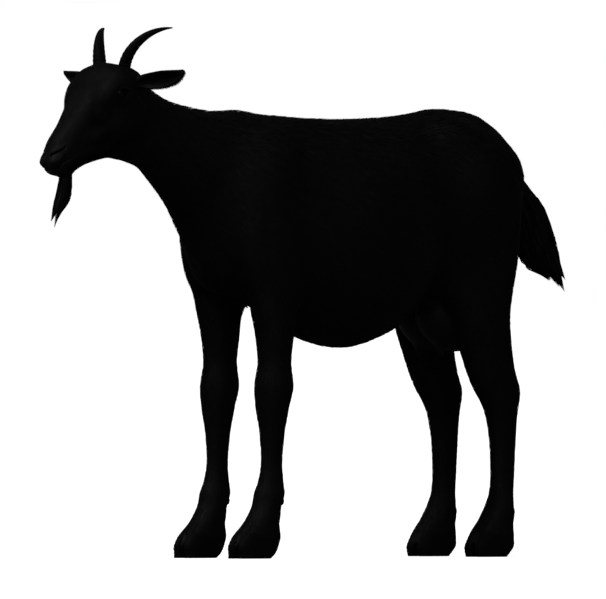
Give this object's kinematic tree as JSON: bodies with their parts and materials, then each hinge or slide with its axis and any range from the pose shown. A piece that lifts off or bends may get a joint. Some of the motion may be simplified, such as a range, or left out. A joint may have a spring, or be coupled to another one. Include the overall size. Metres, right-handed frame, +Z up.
{
  "type": "standing goat model",
  "caption": "Life-size standing doe goat with a smooth black coat, two back-swept horns, a beard and a full udder.",
  "frame": {"origin": "on the floor, on the midline, below the middle of the length from lips to tail tip", "axes": "+Z up, -Y the way the goat faces, +X towards its left side"},
  "size_m": [0.3152, 1.135, 0.8902],
  "materials": {
    "coat": "short, smooth, softly shining black hair",
    "bare_skin": "fine short down over soft black skin",
    "horn": "dark grown horn with shallow rings",
    "eye": "wet, dark amber with a level black pupil"
  },
  "bodies": {
    "root": {"trunk": "coat", "neck": "coat", "head": "coat", "udder": "bare_skin", "tail": "coat", "beard": "coat", "ear_left": "coat", "ear_right": "coat", "eye_left": "eye", "eye_right": "eye", "horn_left": "horn", "horn_right": "horn", "foreleg_upper_left": "coat", "foreleg_upper_right": "coat", "foreleg_lower_left": "coat", "foreleg_lower_right": "coat", "foreleg_inner_claw_left": "horn", "foreleg_inner_claw_right": "horn", "foreleg_outer_claw_left": "horn", "foreleg_outer_claw_right": "horn", "foreleg_inner_dewclaw_left": "horn", "foreleg_inner_dewclaw_right": "horn", "foreleg_outer_dewclaw_left": "horn", "foreleg_outer_dewclaw_right": "horn", "hindleg_upper_left": "coat", "hindleg_upper_right": "coat", "hindleg_lower_left": "coat", "hindleg_lower_right": "coat", "hindleg_inner_claw_left": "horn", "hindleg_inner_claw_right": "horn", "hindleg_outer_claw_left": "horn", "hindleg_outer_claw_right": "horn", "hindleg_inner_dewclaw_left": "horn", "hindleg_inner_dewclaw_right": "horn", "hindleg_outer_dewclaw_left": "horn", "hindleg_outer_dewclaw_right": "horn"}
  },
  "joints": []
}
